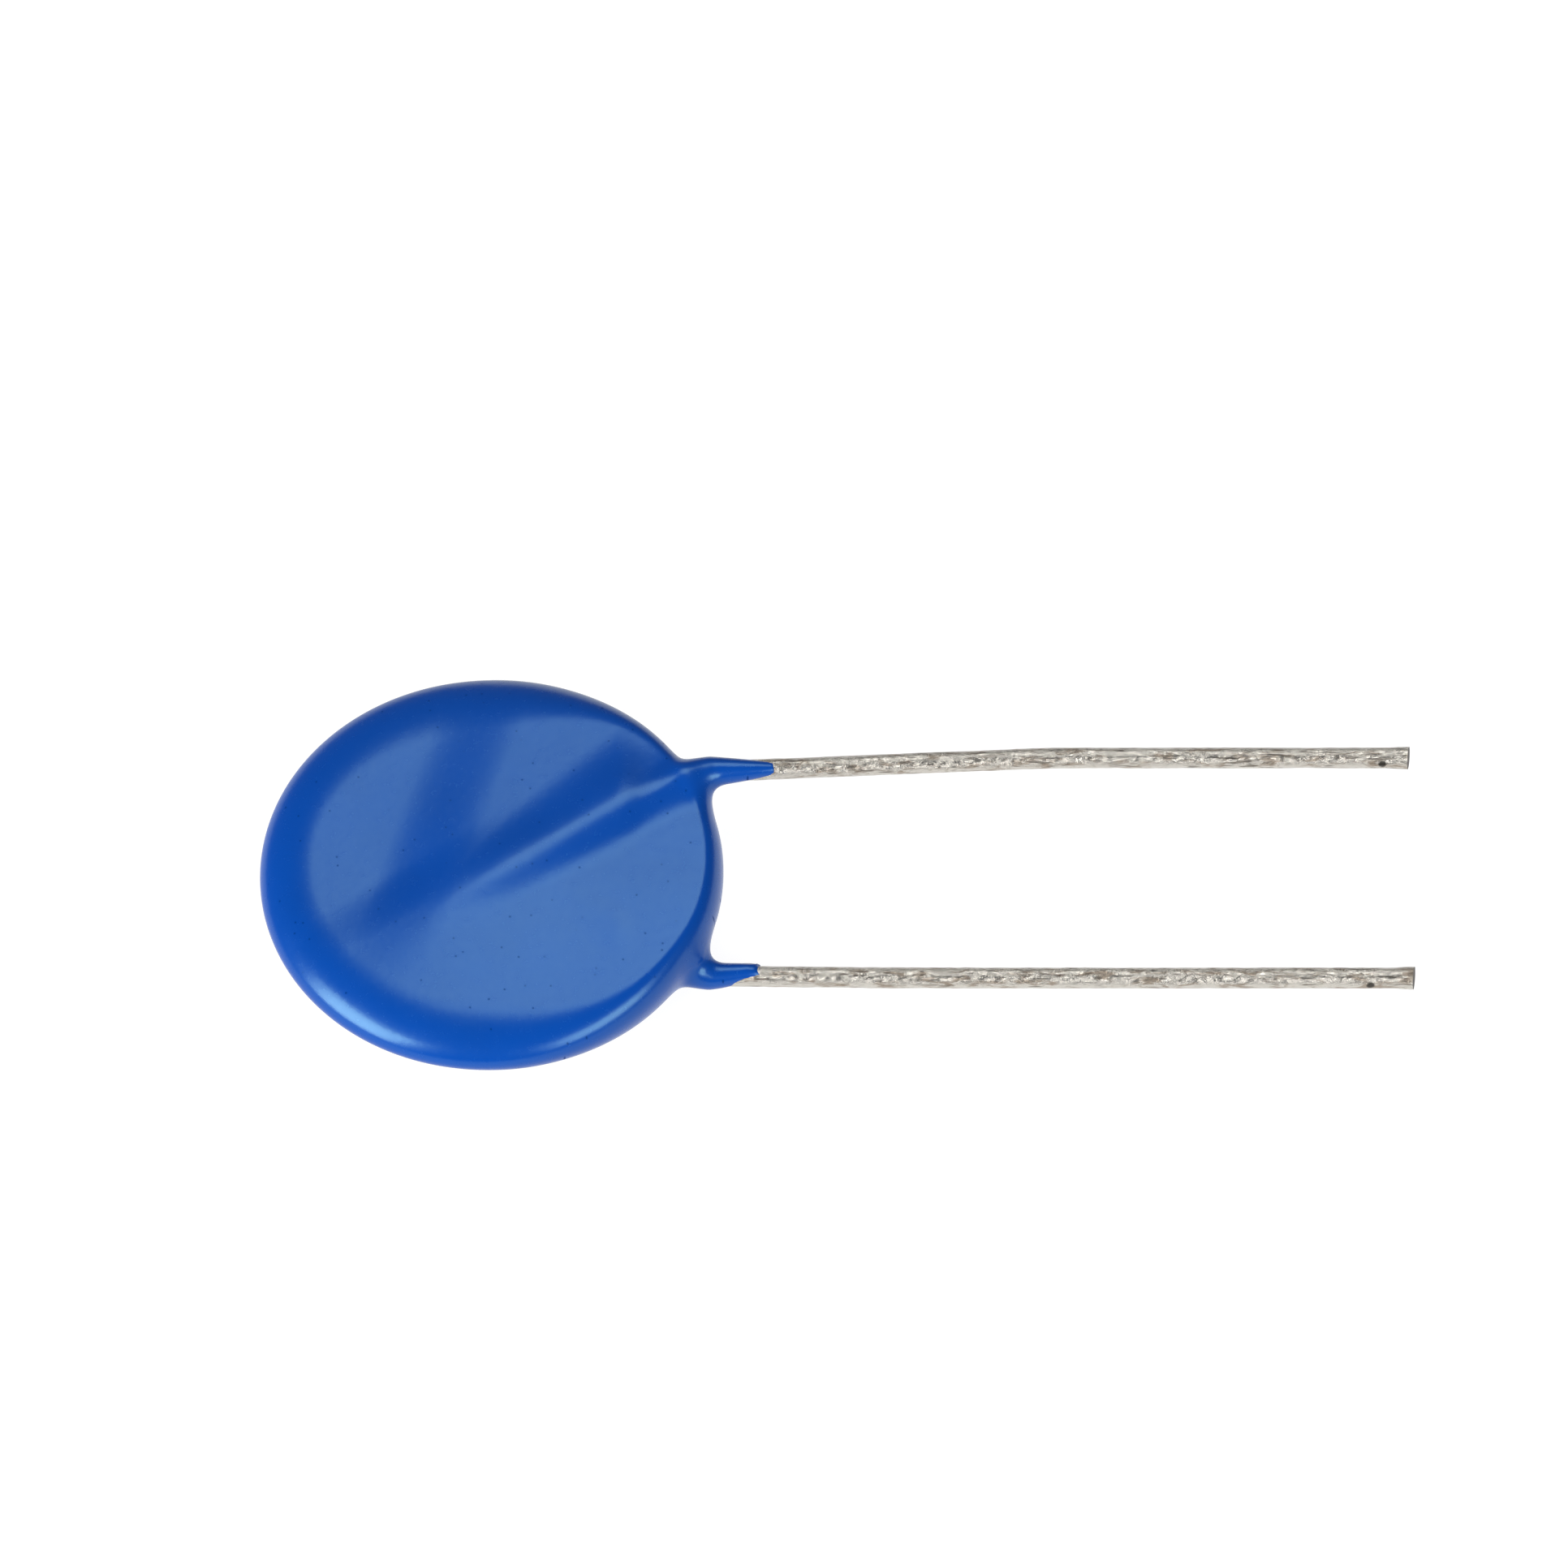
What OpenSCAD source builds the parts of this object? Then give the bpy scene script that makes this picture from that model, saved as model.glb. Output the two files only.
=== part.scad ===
// Disc varistor with two wire leads. Lengths in mm, angles in degrees.
// +X runs along the leads away from the disc, +Y points from the back lead to the front lead, +Z is the disc's axis.
// The part lies on its back: Z = 0 is the underside of the ridge over the back lead.

/* [Ceramic disc] */
// Diameter of the ceramic disc in mm
ceramic_dia = 20; // [18:0.1:20.4]
// Thickness of the ceramic disc in mm
ceramic_thick = 1.1; // [0.8:0.05:1.6]
// Chamfer round both edges of the ceramic disc in mm
ceramic_chamfer = 0.12; // [0.04:0.01:0.2]

/* [Electrodes and solder] */
// Bare ring of ceramic left outside each electrode in mm
electrode_margin = 0.8; // [0.4:0.05:1.5]
// Thickness of each electrode in mm
electrode_thick = 0.05; // [0.03:0.01:0.1]
// Thickness of the solder film under each wire in mm
solder_film = 0.05; // [0.03:0.01:0.1]
// Width of each solder bead where it meets the electrode in mm
solder_width = 2.4; // [1.8:0.1:2.8]
// Height the solder climbs up the wire, as a share of the wire's diameter
solder_climb = 0.55; // [0.3:0.05:0.65]

/* [Leads] */
// Diameter of the lead wire in mm
wire_dia = 1.0; // [0.8:0.05:1.1]
// Distance between the two wires in plan where they leave the coat in mm
lead_spacing = 10.1; // [9.4:0.1:10.8]
// Distance from the disc's axis to the ends of the leads in mm
lead_reach = 43.5; // [38:0.5:50]
// Slope of the wire on the electrode against the wire outside, in plan
cross_angle = 34; // [24:1:42]
// Length of wire from its inner end to the bend in mm
cross_length = 10.5; // [9:0.1:12]
// Distance from the disc's axis to the bend in mm
bend_reach = 8.9; // [8:0.1:9.6]
// Radius of the bend, to the middle of the wire, in mm
bend_radius = 3; // [2:0.1:5]
// Distance the front lead splays outward beyond the coat in mm
front_splay = 0.85; // [0.5:0.05:1.1]
// Distance from the disc's axis to where the front lead runs straight again in mm
front_straight = 26.5; // [24:0.5:30]
// Distance the back lead splays outward beyond the coat in mm
back_splay = 0.14; // [0.14:0.01:0.4]
// Distance from the disc's axis to where the back lead runs straight again in mm
back_straight = 19.5; // [18:0.5:20.5]
// Radius of the slight bend that sets each lead straight again in mm
easy_radius = 60; // [30:5:80]
// Angle of the sheared end of each lead against a square end
shear_angle = 14; // [5:1:25]

/* [Coat on the disc] */
// Diameter of the coated disc in mm
coat_dia = 21.5; // [21.3:0.1:22]
// Thickness of the coat over each electrode in mm
face_cover = 0.72; // [0.65:0.01:0.9]
// Width of the rounding round the rim, seen from above, in mm
rim_round = 3; // [2:0.1:3.4]
// Width of the rounding of the rim between the leads in mm
root_round = 0.85; // [0.7:0.05:2]
// Extra width of the coat between the leads in mm
root_bulge = 0.3; // [0.1:0.05:0.5]
// Thickness of the coat over the wires in mm
ridge_cover = 0.45; // [0.35:0.01:0.6]
// Length of a ridge from the bend to where it has sunk into the face in mm
ridge_length = 14; // [12:0.2:15]
// Softness of the blend between a ridge and the face on the ridge's inner side in mm
ridge_blend = 2.2; // [1.8:0.1:2.8]
// Softness of the blend between a ridge and the face on the ridge's outer side in mm
ridge_spread = 4.4; // [2.8:0.1:5]
// Extra height of the face on the inner side of a ridge in mm
pool_rise = 0.16; // [0:0.02:0.25]
// Extra height of the face round the sunk end of a ridge in mm
dome_rise = 0.4; // [0:0.02:0.5]

/* [Coat on the leads] */
// Radius of the coat where the front lead leaves the disc in mm
front_leg_radius = 0.72; // [0.66:0.01:0.85]
// Radius of the coat where the back lead leaves the disc in mm
back_leg_radius = 0.66; // [0.62:0.01:0.85]
// Distance from the disc's axis to the tip of the coat on the front lead in mm
front_leg_reach = 13.4; // [12.6:0.1:15]
// Distance from the disc's axis to the tip of the coat on the back lead in mm
back_leg_reach = 13.2; // [12.6:0.1:15]
// Distance the tongue at the tip of each leg sits off the middle of its wire in mm
leg_lift = 0.22; // [0.1:0.01:0.26]
// Side of the front lead that its tongue lies on, from straight outward towards the top
front_tongue = 120; // [60:5:150]
// Side of the back lead that its tongue lies on, from straight outward towards the bottom
back_tongue = -115; // [-150:5:-60]
// Softness of the blend between a leg and the rim in mm
leg_blend = 1.5; // [0.8:0.1:1.8]

/* [Hidden] */
$fn = 64;
wire_r = wire_dia / 2;
ceramic_r = ceramic_dia / 2;
electrode_r = ceramic_r - electrode_margin;
electrode_face = ceramic_thick / 2 + electrode_thick;
wire_z = electrode_face + solder_film + wire_r;
coat_r = coat_dia / 2;
coat_half = electrode_face + face_cover;
crest_z = wire_z + wire_r + ridge_cover;
leg_root = bend_reach + 1.5;
tip_r = wire_r - leg_lift;
rise = crest_z - coat_half - pool_rise;
solder_top = solder_film + solder_climb * wire_dia;
overlap = 0.05;
slack = 0.002;

// A lead is [splay, x where it runs straight again, radius of its leg, x of the leg's tip, shift of its tongue,
// side of its shear], seen from its own side of the disc.
front = [front_splay, front_straight, front_leg_radius, front_leg_reach,
    leg_lift * [cos(front_tongue), sin(front_tongue)], -1];
back = [back_splay, back_straight, back_leg_radius, back_leg_reach,
    leg_lift * [cos(back_tongue), sin(back_tongue)], 1];

// The way out of each lead: its angle, the two corners of its middle line, the ends of its first bend
function out_angle(lead) = atan(lead[0] / (lead[1] - bend_reach));
function corner(lead) = [bend_reach, lead_spacing / 2 - tan(out_angle(lead)) * (lead[3] - bend_reach)];
function far_corner(lead) = corner(lead) + [lead[1] - bend_reach, lead[0]];
function along(angle) = [cos(angle), sin(angle)];
function bend_cut(lead) = bend_radius * tan((cross_angle - out_angle(lead)) / 2);
function inner_end(lead) = corner(lead) - cross_length * along(cross_angle);
function ridge_end(lead) = corner(lead) - ridge_length * along(cross_angle);
function bend_start(lead) = corner(lead) - bend_cut(lead) * along(cross_angle);
function bend_end(lead) = corner(lead) + bend_cut(lead) * along(out_angle(lead));
function bend_middle(lead) = bend_start(lead) + bend_radius * along(cross_angle - 90);
function easy_cut(lead) = easy_radius * tan(out_angle(lead) / 2);
function easy_start(lead) = far_corner(lead) - easy_cut(lead) * along(out_angle(lead));
function easy_end(lead) = far_corner(lead) + [easy_cut(lead), 0];
function leg_tip(lead) = corner(lead) + (lead[3] - bend_reach) / cos(out_angle(lead)) * along(out_angle(lead));

// Distances and blends for the skin of the coat
function ease(t) = let (u = max(0, min(1, t))) u * u * (3 - 2 * u);
function mix(a, b, t) = a + (b - a) * t;
function blend(a, b, soft) =
    let (h = max(0, min(1, 0.5 + 0.5 * (b - a) / soft))) b + (a - b) * h - soft * h * (1 - h);
function gap_to_line(p, a, b) =
    let (d = b - a, t = max(0, min(1, ((p - a) * d) / (d * d)))) norm(p - a - t * d);
function gap_to_bend(p, lead) =
    let (v = p - bend_middle(lead), turn = atan2(v[1], v[0]))
    turn >= 90 + out_angle(lead) && turn <= 90 + cross_angle ? abs(norm(v) - bend_radius) : 1000;
function gap_to_run(p, lead) = min(
    gap_to_line(p, ridge_end(lead), bend_start(lead)),
    gap_to_bend(p, lead),
    gap_to_line(p, bend_end(lead), leg_tip(lead)));

// Radius of the coat round a wire: over the disc the one whose blend with the face gives the ridge its height,
// which sinks towards the ridge's end; then the leg's, which tapers to the tip
function ridge_run(x, soft) =
    let (s = (bend_reach - x) / cos(cross_angle), share = max(0, min(1, (s - 3.5) / (ridge_length - 3.5))),
        foot = coat_half + pool_rise + dome_rise * (1 - ease((13.6 - s) / 8.5)))
    foot - wire_z + soft * (2 * (1 - pow(share, 1.5)) * sqrt(rise / soft) - 1);
function leg_radius(x, lead) = mix(lead[2], tip_r, pow(max(0, min(1, leg_share(x, lead))), 1.1));
function leg_share(x, lead) = (x - leg_root) / (lead[3] - leg_root);
function run_radius(x, lead, soft) =
    x > leg_root ? leg_radius(x, lead) : mix(ridge_run(x, soft), lead[2], ease((x - leg_root + 3.5) / 3.5));
function run_gap(x, y, z, lead, soft) =
    let (shift = lead[4] * ease(leg_share(x, lead)))
    norm([gap_to_run([x, y - shift[0]], lead), z - wire_z - shift[1]]) - run_radius(x, lead, soft);

// Distance of a place from the line of its ridge, towards the outer side
function beside(x, y) =
    cos(cross_angle) * (y - corner(front)[1]) - sin(cross_angle) * (x - corner(front)[0]);
// Half the thickness of the coated disc: a low pool inside the ridge and a dome at the ridge's sunk end
function face_at(x, y) =
    let (pool = pool_rise * ease(0.34 * (x + 1.8) - 0.11 * (y - 2.3) + 0.5) * (1 - ease((-y - 1) / 8)),
        dome = dome_rise * (1 - ease(norm([x + 2.5, y + 2.5]) / 8.5)))
    coat_half + pool + dome * (1 - ease((beside(x, y) - 0.2) / 2.6));
function disc_gap(x, y, z) =
    let (wide = coat_r + root_bulge * exp(-pow(y / 4.8, 4)) * ease(x / 6),
        rim = mix(rim_round, root_round, ease((x + 0.5) / 7)), past = norm([x, y]) - wide + rim,
        half = face_at(x, z > 0 ? y : -y))
    past > 0 ? (norm([past / rim, z / half]) - 1) * half : abs(z) - half;
function add_run(made, x, y, z, lead) =
    let (foot = mix(ridge_blend, ridge_spread, ease((beside(x, y) + 0.8) / 1.6)))
    blend(made, run_gap(x, y, z, lead, foot), mix(foot, leg_blend, ease((x - 6) / 3.5)));
function skin_gap(x, y, z) = add_run(add_run(disc_gap(x, y, z), x, y, z, front), x, -y, -z, back);

// The skin is found on rays from a middle surface, which rises onto the wire of each leg
function near_leg(y) = 1 - ease((abs(abs(y) - lead_spacing / 2) - 0.8) / 1.2);
function middle_z(x, y) =
    let (side = y > 0 ? 1 : -1, lead = y > 0 ? front : back)
    near_leg(y) * ease((x - coat_r + 2.95) / 2.6) * side * (wire_z + lead[4][1] * ease(leg_share(x, lead)));
function start(p) = [p[0], p[1], middle_z(p[0], p[1])];
function outside(q) = skin_gap(q[0], q[1], q[2]) > 0;
function halve(o, d, near, far, turns) =
    turns == 0 ? o + (near + far) / 2 * d
    : let (m = (near + far) / 2) outside(o + m * d) ? halve(o, d, near, m, turns - 1) : halve(o, d, m, far, turns - 1);
function hit(o, d) = halve(o, d, 0, 3, 15);
function narrow(p, d, near, far, turns) =
    turns == 0 ? (near + far) / 2
    : let (m = (near + far) / 2)
        outside(start(p + m * d)) ? narrow(p, d, near, m, turns - 1) : narrow(p, d, m, far, turns - 1);
function edge_length(p, d, from) =
    outside(start(p + (from + 0.25) * d)) ? narrow(p, d, from, from + 0.25, 12) : edge_length(p, d, from + 0.25);

// Half a section: out from the spine over the top, round the edge and back underneath
rounds = 6;
function half_section(p, d, flats) =
    let (long = edge_length(p, d, 0), flat = long - min(0.95, 0.55 * long), q = start(p + flat * d))
    concat(
        [for (i = [1:flats]) hit(start(p + flat * pow(i / flats, 1.15) * d), [0, 0, 1])],
        [for (i = [1:rounds - 1]) let (a = 90 - 180 * i / rounds) hit(q, [d[0] * cos(a), d[1] * cos(a), sin(a)])],
        [for (i = [flats:-1:1]) hit(start(p + flat * pow(i / flats, 1.15) * d), [0, 0, -1])]);

// A section stands across the spine, which runs down one leg, over the disc and up the other leg.
// Its place t is 0 at a leg's tip, 1 where that leg ends and 2 on the middle of the disc.
outer_flats = 9;
inner_flats = 6;
leg_steps = 5;
disc_steps = 23;
half_y = lead_spacing / 2;
function unit(v) = v / norm(v);
function leg_foot(lead) = corner(lead) + (coat_r + 0.65 - bend_reach) * [1, tan(out_angle(lead))];
function spine(t, lead) =
    let (u = t - 1)
    t <= 1 ? mix(leg_tip(lead) - [0.25, 0], leg_foot(lead), t)
    : (1 - u) * (1 - u) * leg_foot(lead) + 2 * u * (1 - u) * (corner(lead) - [0.9, 0.2]) + u * u * [2.4, 0];
function way_out(t, lead) =
    let (u = t - 1, first = leg_foot(lead) + [0, 0.55], turn = u < 0.3 ? u / 2 : 0.15 + (u - 0.3) / 0.7 * 0.85)
    t <= 1 ? [0, 1] : unit(norm(first) * along(mix(atan2(first[1], first[0]), 180, turn)) - spine(t, lead));
function way_in(t, lead) =
    let (u = t - 1, crotch = [coat_r + root_bulge + 0.45, half_y - 2], last = crotch + 1.15 * along(200))
    t <= 1 ? [0, -1]
    : unit((u < 0.35 ? crotch + 1.15 * along(mix(90, 200, u / 0.35))
        : mix(last, [coat_r + root_bulge, 0], (u - 0.35) / 0.65)) - spine(t, lead));
function section(t, lead, side) =
    let (s = spine(t, lead), o = way_out(t, lead), n = way_in(t, lead),
        p = [s[0], side * s[1]], inner = half_section(p, [n[0], side * n[1]], inner_flats))
    concat(
        [hit(start(p), [0, 0, 1])],
        half_section(p, [o[0], side * o[1]], outer_flats),
        [hit(start(p), [0, 0, -1])],
        [for (i = [len(inner) - 1:-1:0]) inner[i]]);
places = concat([for (i = [0:leg_steps - 1]) i / leg_steps], [for (i = [0:disc_steps]) 1 + i / disc_steps]);

// Where the disc's middle lies when the part rests on the ridge over the back lead
rest_z = max([for (s = [0:0.25:5]) hit(start(corner(back) - s * along(cross_angle)), [0, 0, 1])[2]]);
lie = [-(lead_reach - coat_r) / 2, 0, rest_z];

module skin() {
    last = len(places) - 1;
    loops = concat(
        [for (t = places) section(t, front, 1)],
        [for (i = [last - 1:-1:0]) section(places[i], back, -1)]);
    m = len(loops[0]);
    k = len(loops);
    front_end = hit(start(spine(0, front)), [1, 0, 0]);
    back_foot = spine(0, back);
    back_end = hit(start([back_foot[0], -back_foot[1]]), [1, 0, 0]);
    points = concat([for (l = loops) each l], [front_end, back_end]);
    polyhedron(points, concat(
        [for (j = [0:k - 2], i = [0:m - 1], t = [0, 1])
            let (a = j * m + i, b = j * m + (i + 1) % m, c = a + m, d = b + m)
            t == 0 ? [a, d, b] : [a, c, d]],
        [for (i = [0:m - 1]) [k * m, i, (i + 1) % m]],
        [for (i = [0:m - 1]) [k * m + 1, (k - 1) * m + (i + 1) % m, (k - 1) * m + i]]), convexity = 4);
}

// A straight stretch of wire between two points of the plan
module stretch(a, b, before, after) {
    d = b - a;
    translate([a[0], a[1], wire_z]) rotate([0, 0, atan2(d[1], d[0])]) translate([-before, 0, 0])
        rotate([0, 90, 0]) cylinder(h = norm(d) + before + after, r = wire_r);
}

// A bent stretch of wire in the plan, from one angle to another round a middle
module bent(middle, radius, from, turn) {
    translate([middle[0], middle[1], wire_z]) rotate([0, 0, from])
        rotate_extrude(angle = turn) translate([radius, 0]) circle(r = wire_r - slack);
}

// The whole wire of one lead, seen from its own side of the disc
module wire(lead) {
    difference() {
        union() {
            stretch(inner_end(lead), bend_start(lead), 0, overlap);
            bent(bend_middle(lead), bend_radius, 90 + out_angle(lead), cross_angle - out_angle(lead));
            stretch(bend_end(lead), easy_start(lead), overlap, overlap);
            bent(easy_end(lead) - [0, easy_radius], easy_radius, 90, out_angle(lead));
            stretch(easy_end(lead), [lead_reach + 1, easy_end(lead)[1]], overlap, 0);
        }
        translate([lead_reach, easy_end(lead)[1] - lead[5] * wire_r, wire_z]) rotate([0, 0, lead[5] * shear_angle])
            translate([0, -3, -2]) cube([4, 6, 4]);
    }
}

// One solder bead: a low ramp on both sides of the wire, rounded at its ends
module bead(lead) {
    a = inner_end(lead) + 0.3 * along(cross_angle);
    b = a + (cross_length - 4.2) * along(cross_angle);
    top = solder_width / 2 - 0.5;
    difference() {
        translate([a[0], a[1], electrode_face]) rotate([0, 0, cross_angle]) {
            rotate([90, 0, 90]) linear_extrude(height = norm(b - a))
                polygon([[-solder_width / 2, 0], [solder_width / 2, 0], [top, solder_top], [-top, solder_top]]);
            cylinder(h = solder_top, r1 = solder_width / 2, r2 = top);
            translate([norm(b - a), 0, 0]) cylinder(h = solder_top, r1 = solder_width / 2, r2 = top);
        }
        wire(lead);
    }
}

module disc_plate() {
    half = ceramic_thick / 2;
    rotate_extrude() polygon([[0, -half], [ceramic_r - ceramic_chamfer, -half],
        [ceramic_r, -half + ceramic_chamfer], [ceramic_r, half - ceramic_chamfer],
        [ceramic_r - ceramic_chamfer, half], [0, half]]);
}

module plate() {
    translate([0, 0, ceramic_thick / 2]) cylinder(h = electrode_thick, r = electrode_r);
}

// Turns a piece over to the back of the disc
module turned() {
    rotate([180, 0, 0]) children();
}

module ceramic_disc() {
    color([0.25, 0.25, 0.26]) translate(lie) disc_plate();
}

module electrode_front() {
    color([0.85, 0.85, 0.86]) translate(lie) plate();
}

module electrode_back() {
    color([0.85, 0.85, 0.86]) translate(lie) turned() plate();
}

module solder_front() {
    color([0.7, 0.7, 0.72]) translate(lie) bead(front);
}

module solder_back() {
    color([0.7, 0.7, 0.72]) translate(lie) turned() bead(back);
}

module lead_front() {
    color([0.78, 0.75, 0.7]) translate(lie) wire(front);
}

module lead_back() {
    color([0.78, 0.75, 0.7]) translate(lie) turned() wire(back);
}

module epoxy_coat() {
    color([0.05, 0.3, 0.65]) translate(lie) difference() {
        skin();
        disc_plate();
        plate();
        turned() plate();
        bead(front);
        turned() bead(back);
        wire(front);
        turned() wire(back);
    }
}

ceramic_disc();
electrode_front();
electrode_back();
solder_front();
solder_back();
lead_front();
lead_back();
epoxy_coat();
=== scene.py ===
"""Disc varistor: dipped coat, tinned leads, finishes and studio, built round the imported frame."""

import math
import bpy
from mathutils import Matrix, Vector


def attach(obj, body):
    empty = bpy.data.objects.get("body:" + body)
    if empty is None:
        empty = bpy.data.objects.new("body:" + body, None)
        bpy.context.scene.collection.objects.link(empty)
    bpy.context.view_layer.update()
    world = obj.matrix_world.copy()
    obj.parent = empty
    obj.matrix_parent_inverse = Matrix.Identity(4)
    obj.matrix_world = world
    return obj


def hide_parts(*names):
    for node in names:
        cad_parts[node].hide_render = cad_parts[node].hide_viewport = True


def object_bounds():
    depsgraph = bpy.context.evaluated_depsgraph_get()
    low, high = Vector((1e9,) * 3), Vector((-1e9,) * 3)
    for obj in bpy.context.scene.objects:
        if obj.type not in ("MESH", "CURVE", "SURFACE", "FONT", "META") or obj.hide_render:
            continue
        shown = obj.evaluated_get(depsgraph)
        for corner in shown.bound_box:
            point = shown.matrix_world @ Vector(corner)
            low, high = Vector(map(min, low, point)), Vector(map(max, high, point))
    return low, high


bl_info = {
    "name": "Disc varistor",
    "version": (1, 0, 0),
    "blender": (4, 5, 0),
    "location": "View3D > Sidebar > Varistor",
    "description": "Models the coat and leads of a disc varistor, with their finishes and a small studio",
    "category": "Object",
}

import bmesh
import bpy
import numpy as np
from bpy.props import FloatProperty, FloatVectorProperty, PointerProperty
from mathutils import Matrix, Vector, noise

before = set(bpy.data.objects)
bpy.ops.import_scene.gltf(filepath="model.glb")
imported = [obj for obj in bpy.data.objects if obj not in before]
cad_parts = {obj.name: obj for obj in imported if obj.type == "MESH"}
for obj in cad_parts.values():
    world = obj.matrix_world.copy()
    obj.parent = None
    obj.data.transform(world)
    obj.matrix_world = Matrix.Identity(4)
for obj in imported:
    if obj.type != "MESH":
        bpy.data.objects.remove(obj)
CAD_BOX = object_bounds()
MM = 0.001

# millimetres: the coated disc, and its middle above the table
COAT_DIA = 21.5
REST_HEIGHT = 2.096
CENTRE = Vector((CAD_BOX[0][0] / MM + COAT_DIA / 2, 0.0, REST_HEIGHT))


# ---------------------------------------------------------------- sizes and finishes

def length(name, description, default_mm):
    return FloatProperty(name=name, description=description, default=default_mm * MM, precision=5,
                         unit="LENGTH", subtype="DISTANCE")


def fraction(name, description, default):
    return FloatProperty(name=name, description=description, default=default, min=0, max=1)


def colour(name, description, default):
    return FloatVectorProperty(name=name, description=description, default=default, size=3,
                               subtype="COLOR", min=0.0, max=1.0)


class VaristorSizes(bpy.types.PropertyGroup):
    """Sizes of the disc, its coat and its two leads."""

    stack_half: length("Half stack", "Half the ceramic with its electrode", 0.60)
    solder_film: length("Solder film", "Gap between electrode and wire", 0.05)
    wire_dia: length("Wire diameter", "Round lead wire", 1.0)
    lead_spacing: length("Lead spacing", "Distance between the leads at the coat", 10.1)
    lead_reach: length("Lead reach", "Disc centre to the lead ends", 43.5)
    cross_length: length("Crossing length", "Soldered run of the wire over the disc", 10.5)
    bend_reach: length("Bend reach", "Disc centre to the bend at the rim", 8.9)
    bend_radius: length("Bend radius", "Wire bend at the rim", 3.0)
    easy_radius: length("Easy bend radius", "Gentle bend further out", 60.0)
    front_splay: length("Front splay", "Sideways run of the front lead", 0.85)
    front_straight: length("Front straight", "Where the front lead turns parallel", 26.5)
    back_splay: length("Back splay", "Sideways run of the back lead", 0.14)
    back_straight: length("Back straight", "Where the back lead turns parallel", 19.5)
    coat_dia: length("Coat diameter", "Outside of the dipped disc", COAT_DIA)
    face_cover: length("Face cover", "Coat over the electrodes", 0.72)
    rim_round: length("Rim round", "Width of the rounded rim away from the leads", 2.55)
    root_round: length("Root round", "Width of the rounded rim between the leads", 0.95)
    root_bulge: length("Root bulge", "Extra coat between the leads", 0.3)
    ridge_cover: length("Ridge cover", "Coat over the wire on the face", 0.45)
    ridge_length: length("Ridge length", "Bend at the rim to the point where the ridge has faded", 14.1)
    ridge_blend: length("Ridge blend", "Softness of the ridge's inner foot", 2.96)
    ridge_spread: length("Ridge spread", "Softness of the ridge's outer foot", 6.0)
    leg_blend: length("Leg blend", "Softness of the crotch at each leg", 2.0)
    front_leg_radius: length("Front leg radius", "Run-down on the front lead at its root", 0.72)
    back_leg_radius: length("Back leg radius", "Run-down on the back lead at its root", 0.66)
    front_leg_reach: length("Front leg reach", "Disc centre to the front tongue", 13.4)
    back_leg_reach: length("Back leg reach", "Disc centre to the back tongue", 13.6)
    front_tip_lift: length("Front tongue shift", "Shift of the front tongue off its wire's middle", 0.20)
    front_tip_radius: length("Front tongue radius", "Radius of the front tongue at its tip", 0.33)
    back_tip_lift: length("Back tongue shift", "Shift of the back tongue off its wire's middle", 0.34)
    back_tip_radius: length("Back tongue radius", "Radius of the back tongue at its tip", 0.25)
    pool_rise: length("Pool rise", "Swelling of the coat beside the ridge", 0.218)
    dome_rise: length("Dome rise", "Swelling of the coat at the ridge's faded end", 0.177)
    pool_width: length("Pool width", "Width of the slope at the edge of the pool", 4.04)
    swell_rise: length("Swell rise", "Long outer slope of the ridge", 0.182)
    swell_width: length("Swell width", "Reach of the long outer slope", 7.7)
    swell_inner: length("Swell inner", "Reach of the swelling on the inner side", 2.1)
    swell_length: length("Swell length", "Bend at the rim to where the swelling fades", 9.2)
    fade_start: length("Fade start", "Bend at the rim to where the ridge starts to fade", 1.74)
    top_round: length("Top round", "Extra rim rounding on the front lead's side", 1.19)
    bottom_round: length("Bottom round", "Extra rim rounding on the back lead's side", 0.22)
    grain: length("Mesh grain", "Edge length of the coat's mesh", 0.115)


class CoatFinish(bpy.types.PropertyGroup):
    """Blue epoxy."""

    blue: colour("Blue", "Body colour of the epoxy", (0.0, 0.046, 0.285))
    gloss_tint: colour("Gloss tint", "Tint of the reflections", (0.50, 0.95, 1.0))
    # the pit colour is painted shade: the dark at the bottom of pits that have no depth in the mesh
    pit_shade: colour("Pit", "Colour at the bottom of the pits", (0.0, 0.022, 0.13))
    roughness: fraction("Roughness", "Base roughness", 0.26)
    peel: fraction("Orange peel", "Depth of the fine waves", 0.12)


class WireFinish(bpy.types.PropertyGroup):
    """Tinned wire."""

    tin: colour("Tin", "Clean tinning", (0.55, 0.525, 0.475))
    stain: colour("Stain", "Flux and heat stain", (0.25, 0.19, 0.135))
    # the cut colour is bare metal painted near black: painted shade on the sheared end faces
    cut: colour("Cut metal", "Bare metal of the sheared ends", (0.035, 0.031, 0.026))
    dross: colour("Dross", "Specks in the tinning", (0.03, 0.027, 0.025))
    # the pinch mark's colour is painted shade in a notch that the wire's mesh does not dent
    pinch: colour("Pinch mark", "Bottom of the pinch mark", (0.012, 0.010, 0.008))
    roughness: fraction("Roughness", "Base roughness", 0.17)
    nick: length("Nick", "Size of the pinch mark near each end", 0.24)


class StudioSettings(bpy.types.PropertyGroup):
    """Camera, lights and floor."""

    elevation: FloatProperty(name="Elevation", description="Camera height angle",
                             default=math.radians(57), subtype="ANGLE")
    distance: length("Distance", "Camera to the disc", 450.0)
    scale: FloatProperty(name="Scale", description="Pixels to a millimetre in the full frame", default=26.2)
    back_power: FloatProperty(name="Back box", description="Radiance of the box behind", default=3.9)
    side_power: FloatProperty(name="Side boxes", description="Radiance of the boxes beside", default=12.0)
    room: FloatProperty(name="Room", description="Strength of the even room light", default=0.12)
    table_glow: FloatProperty(name="Table glow", description="Light from the table itself", default=0.93)


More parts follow.
